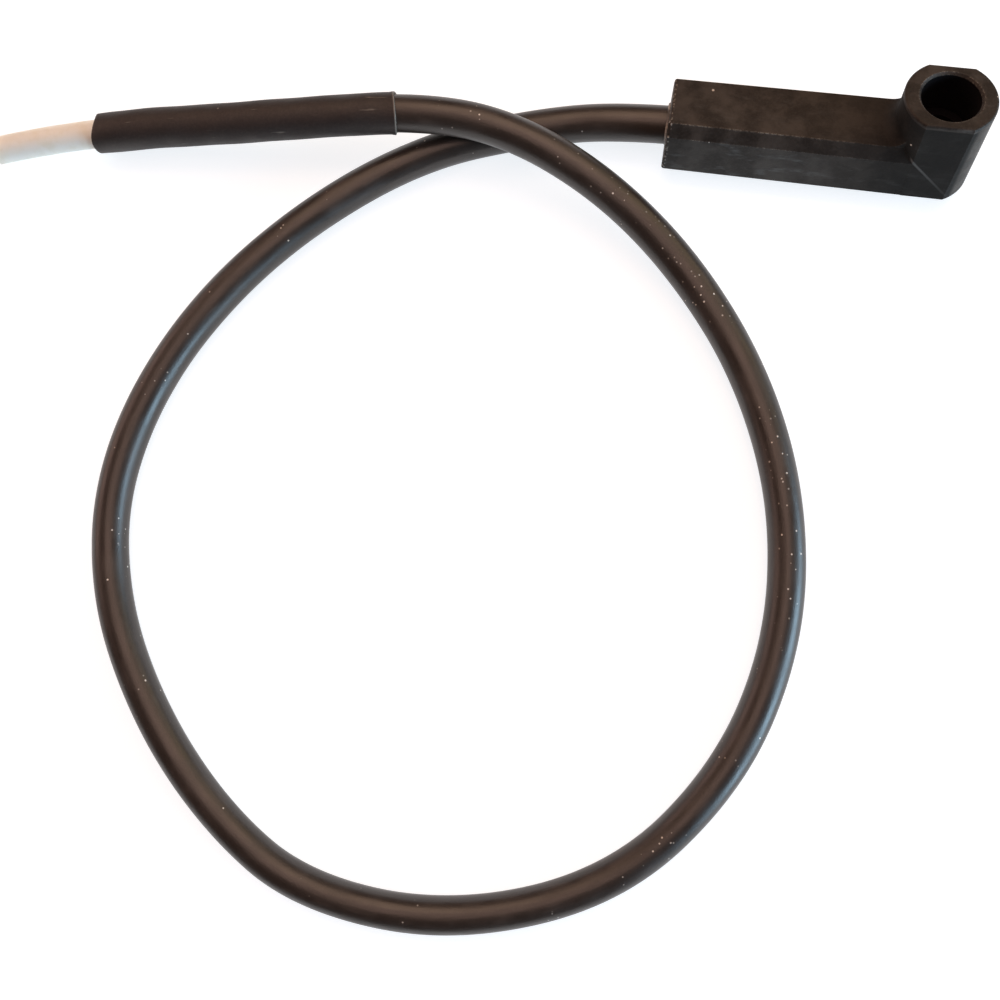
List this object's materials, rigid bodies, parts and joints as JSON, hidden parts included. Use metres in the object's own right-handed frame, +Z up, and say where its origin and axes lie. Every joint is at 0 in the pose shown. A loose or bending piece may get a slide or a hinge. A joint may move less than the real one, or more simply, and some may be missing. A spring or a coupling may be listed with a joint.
{
  "type": "ignition lead with elbow cap",
  "caption": "High-voltage ignition lead with a moulded right-angle electrode cap, a loop of black silicone cable and a sleeved plug-in end.",
  "frame": {"origin": "middle of the cap's footprint on the surface that it lies on", "axes": "+X along the cap's long arm from the cable towards the tower, +Z up, and the tower leans 18 degrees from +Z towards +Y"},
  "size_m": [0.192, 0.1684, 0.0225],
  "materials": {
    "cap_moulding": "satin black moulding",
    "brass": "turned brass",
    "spring_steel": "plain spring steel",
    "ceramic": "unglazed ceramic",
    "sealant": "cured silicone sealant",
    "jacket_silicone": "semi-gloss silicone rubber",
    "glass_braid": "woven glass fibre",
    "insulation_silicone": "pale silicone rubber",
    "copper_strand": "bare copper strands",
    "shrink_tubing": "matt shrink tubing",
    "pale_silicone": "translucent pale silicone tube"
  },
  "bodies": {
    "root": {"cap_body": "cap_moulding", "contact_socket": "brass", "socket_snap_ring": "spring_steel", "contact_spring": "spring_steel", "resistor_body": "ceramic", "resistor_cap_cable_side": "brass", "resistor_cap_tower_side": "brass", "cable_screw": "spring_steel", "entry_sealant": "sealant", "cable_jacket": "jacket_silicone", "cable_braid": "glass_braid", "cable_insulation": "insulation_silicone", "cable_conductor": "copper_strand", "shrink_sleeve": "shrink_tubing", "terminal_tube": "pale_silicone", "receptacle": "brass"}
  },
  "joints": []
}
